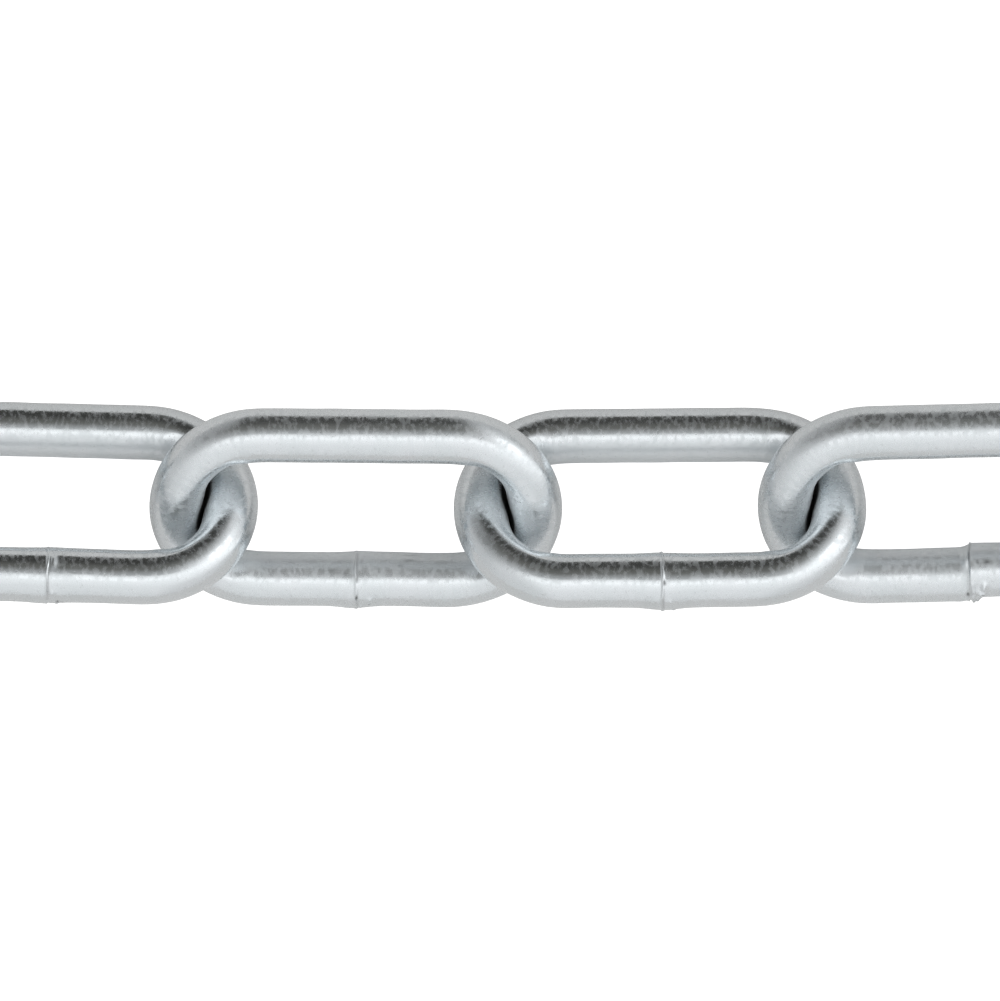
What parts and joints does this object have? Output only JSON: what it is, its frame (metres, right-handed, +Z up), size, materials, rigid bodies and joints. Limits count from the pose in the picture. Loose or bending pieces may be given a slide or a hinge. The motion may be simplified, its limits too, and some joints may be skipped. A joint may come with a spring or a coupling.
{
  "type": "length of welded long-link steel chain",
  "caption": "Straight length of welded steel chain: interlocked long oval round-wire links, each butt-welded on one side, leaning to alternate sides.",
  "frame": {"origin": "on the floor, under the middle of the chain's bounding box", "axes": "+X along the chain, +Z up; the links lean from the floor to either side"},
  "size_m": [1.018, 0.0241, 0.0136],
  "materials": {
    "zinc_plated_steel": "bright zinc plating over drawn steel wire, semi-gloss, with fine draw lines and pits"
  },
  "bodies": {
    "link_01": {"link_01": "zinc_plated_steel"},
    "link_02": {"link_02": "zinc_plated_steel"},
    "link_03": {"link_03": "zinc_plated_steel"},
    "link_04": {"link_04": "zinc_plated_steel"},
    "link_05": {"link_05": "zinc_plated_steel"},
    "link_06": {"link_06": "zinc_plated_steel"},
    "link_07": {"link_07": "zinc_plated_steel"},
    "link_08": {"link_08": "zinc_plated_steel"},
    "link_09": {"link_09": "zinc_plated_steel"},
    "link_10": {"link_10": "zinc_plated_steel"},
    "link_11": {"link_11": "zinc_plated_steel"},
    "link_12": {"link_12": "zinc_plated_steel"},
    "link_13": {"link_13": "zinc_plated_steel"},
    "link_14": {"link_14": "zinc_plated_steel"},
    "link_15": {"link_15": "zinc_plated_steel"},
    "link_16": {"link_16": "zinc_plated_steel"},
    "link_17": {"link_17": "zinc_plated_steel"},
    "link_18": {"link_18": "zinc_plated_steel"},
    "link_19": {"link_19": "zinc_plated_steel"},
    "link_20": {"link_20": "zinc_plated_steel"},
    "link_21": {"link_21": "zinc_plated_steel"},
    "link_22": {"link_22": "zinc_plated_steel"},
    "link_23": {"link_23": "zinc_plated_steel"},
    "link_24": {"link_24": "zinc_plated_steel"},
    "link_25": {"link_25": "zinc_plated_steel"},
    "link_26": {"link_26": "zinc_plated_steel"},
    "link_27": {"link_27": "zinc_plated_steel"},
    "link_28": {"link_28": "zinc_plated_steel"},
    "link_29": {"link_29": "zinc_plated_steel"},
    "link_30": {"link_30": "zinc_plated_steel"},
    "link_31": {"link_31": "zinc_plated_steel"},
    "link_32": {"link_32": "zinc_plated_steel"},
    "link_33": {"link_33": "zinc_plated_steel"},
    "link_34": {"link_34": "zinc_plated_steel"},
    "link_35": {"link_35": "zinc_plated_steel"},
    "link_36": {"link_36": "zinc_plated_steel"}
  },
  "joints": [
    {"name": "link_18_swing", "type": "hinge", "parent": "link_19", "child": "link_18", "pos_m": [-0.00275, -0.00302, 0.00664], "axis": [-0.0074, 0.8339, -0.5519], "range_deg": [-35, 35]},
    {"name": "link_17_swing", "type": "hinge", "parent": "link_18", "child": "link_17", "pos_m": [-0.03075, -0.00273, 0.00676], "axis": [0.0074, 0.8339, 0.5519], "range_deg": [-35, 35]},
    {"name": "link_16_swing", "type": "hinge", "parent": "link_17", "child": "link_16", "pos_m": [-0.05874, -0.00198, 0.00664], "axis": [-0.0209, -0.8336, 0.5519], "range_deg": [-35, 35]},
    {"name": "link_15_swing", "type": "hinge", "parent": "link_16", "child": "link_15", "pos_m": [-0.08672, -0.00091, 0.00676], "axis": [-0.031, -0.8333, -0.5519], "range_deg": [-35, 35]},
    {"name": "link_14_swing", "type": "hinge", "parent": "link_15", "child": "link_14", "pos_m": [-0.11469, 0.00031, 0.00664], "axis": [0.0359, 0.8331, -0.5519], "range_deg": [-35, 35]},
    {"name": "link_13_swing", "type": "hinge", "parent": "link_14", "child": "link_13", "pos_m": [-0.14267, 0.00148, 0.00676], "axis": [0.035, 0.8332, 0.5519], "range_deg": [-35, 35]},
    {"name": "link_12_swing", "type": "hinge", "parent": "link_13", "child": "link_12", "pos_m": [-0.17065, 0.00241, 0.00664], "axis": [-0.0283, -0.8334, 0.5519], "range_deg": [-35, 35]},
    {"name": "link_11_swing", "type": "hinge", "parent": "link_12", "child": "link_11", "pos_m": [-0.19865, 0.00294, 0.00676], "axis": [-0.0169, -0.8337, -0.5519], "range_deg": [-35, 35]},
    {"name": "link_10_swing", "type": "hinge", "parent": "link_11", "child": "link_10", "pos_m": [-0.22665, 0.00298, 0.00664], "axis": [0.0027, 0.8339, -0.5519], "range_deg": [-35, 35]},
    {"name": "link_09_swing", "type": "hinge", "parent": "link_10", "child": "link_09", "pos_m": [-0.25464, 0.00254, 0.00676], "axis": [-0.0119, 0.8338, 0.5519], "range_deg": [-35, 35]},
    {"name": "link_08_swing", "type": "hinge", "parent": "link_09", "child": "link_08", "pos_m": [-0.28263, 0.00167, 0.00664], "axis": [0.0246, -0.8335, 0.5519], "range_deg": [-35, 35]},
    {"name": "link_07_swing", "type": "hinge", "parent": "link_08", "child": "link_07", "pos_m": [-0.31061, 0.00053, 0.00676], "axis": [0.0331, -0.8332, -0.5519], "range_deg": [-35, 35]},
    {"name": "link_06_swing", "type": "hinge", "parent": "link_07", "child": "link_06", "pos_m": [-0.33858, -0.0007, 0.00664], "axis": [-0.0363, 0.8331, -0.5519], "range_deg": [-35, 35]},
    {"name": "link_05_swing", "type": "hinge", "parent": "link_06", "child": "link_05", "pos_m": [-0.36656, -0.00181, 0.00676], "axis": [-0.0334, 0.8332, 0.5519], "range_deg": [-35, 35]},
    {"name": "link_04_swing", "type": "hinge", "parent": "link_05", "child": "link_04", "pos_m": [-0.39455, -0.00263, 0.00664], "axis": [0.0251, -0.8335, 0.5519], "range_deg": [-35, 35]},
    {"name": "link_03_swing", "type": "hinge", "parent": "link_04", "child": "link_03", "pos_m": [-0.42254, -0.00301, 0.00676], "axis": [0.0126, -0.8338, -0.5519], "range_deg": [-35, 35]},
    {"name": "link_02_swing", "type": "hinge", "parent": "link_03", "child": "link_02", "pos_m": [-0.45054, -0.00289, 0.00664], "axis": [0.002, 0.8339, -0.5519], "range_deg": [-35, 35]},
    {"name": "link_01_swing", "type": "hinge", "parent": "link_02", "child": "link_01", "pos_m": [-0.47854, -0.0023, 0.00676], "axis": [0.0163, 0.8337, 0.5519], "range_deg": [-35, 35]},
    {"name": "link_20_swing", "type": "hinge", "parent": "link_19", "child": "link_20", "pos_m": [0.03075, -0.00273, 0.00664], "axis": [0.0074, -0.8339, 0.5519], "range_deg": [-35, 35]},
    {"name": "link_21_swing", "type": "hinge", "parent": "link_20", "child": "link_21", "pos_m": [0.05874, -0.00198, 0.00676], "axis": [0.0209, -0.8336, -0.5519], "range_deg": [-35, 35]},
    {"name": "link_22_swing", "type": "hinge", "parent": "link_21", "child": "link_22", "pos_m": [0.08672, -0.00091, 0.00664], "axis": [-0.031, 0.8333, -0.5519], "range_deg": [-35, 35]},
    {"name": "link_23_swing", "type": "hinge", "parent": "link_22", "child": "link_23", "pos_m": [0.11469, 0.00031, 0.00676], "axis": [-0.0359, 0.8331, 0.5519], "range_deg": [-35, 35]},
    {"name": "link_24_swing", "type": "hinge", "parent": "link_23", "child": "link_24", "pos_m": [0.14267, 0.00148, 0.00664], "axis": [0.035, -0.8332, 0.5519], "range_deg": [-35, 35]},
    {"name": "link_25_swing", "type": "hinge", "parent": "link_24", "child": "link_25", "pos_m": [0.17065, 0.00241, 0.00676], "axis": [0.0283, -0.8334, -0.5519], "range_deg": [-35, 35]},
    {"name": "link_26_swing", "type": "hinge", "parent": "link_25", "child": "link_26", "pos_m": [0.19865, 0.00294, 0.00664], "axis": [-0.0169, 0.8337, -0.5519], "range_deg": [-35, 35]},
    {"name": "link_27_swing", "type": "hinge", "parent": "link_26", "child": "link_27", "pos_m": [0.22665, 0.00298, 0.00676], "axis": [-0.0027, 0.8339, 0.5519], "range_deg": [-35, 35]},
    {"name": "link_28_swing", "type": "hinge", "parent": "link_27", "child": "link_28", "pos_m": [0.25464, 0.00254, 0.00664], "axis": [-0.0119, -0.8338, 0.5519], "range_deg": [-35, 35]},
    {"name": "link_29_swing", "type": "hinge", "parent": "link_28", "child": "link_29", "pos_m": [0.28263, 0.00167, 0.00676], "axis": [-0.0246, -0.8335, -0.5519], "range_deg": [-35, 35]},
    {"name": "link_30_swing", "type": "hinge", "parent": "link_29", "child": "link_30", "pos_m": [0.31061, 0.00053, 0.00664], "axis": [0.0331, 0.8332, -0.5519], "range_deg": [-35, 35]},
    {"name": "link_31_swing", "type": "hinge", "parent": "link_30", "child": "link_31", "pos_m": [0.33858, -0.0007, 0.00676], "axis": [0.0363, 0.8331, 0.5519], "range_deg": [-35, 35]},
    {"name": "link_32_swing", "type": "hinge", "parent": "link_31", "child": "link_32", "pos_m": [0.36656, -0.00181, 0.00664], "axis": [-0.0334, -0.8332, 0.5519], "range_deg": [-35, 35]},
    {"name": "link_33_swing", "type": "hinge", "parent": "link_32", "child": "link_33", "pos_m": [0.39455, -0.00263, 0.00676], "axis": [-0.0251, -0.8335, -0.5519], "range_deg": [-35, 35]},
    {"name": "link_34_swing", "type": "hinge", "parent": "link_33", "child": "link_34", "pos_m": [0.42254, -0.00301, 0.00664], "axis": [0.0126, 0.8338, -0.5519], "range_deg": [-35, 35]},
    {"name": "link_35_swing", "type": "hinge", "parent": "link_34", "child": "link_35", "pos_m": [0.45054, -0.00289, 0.00676], "axis": [-0.002, 0.8339, 0.5519], "range_deg": [-35, 35]},
    {"name": "link_36_swing", "type": "hinge", "parent": "link_35", "child": "link_36", "pos_m": [0.47854, -0.0023, 0.00664], "axis": [0.0163, -0.8337, 0.5519], "range_deg": [-35, 35]}
  ]
}
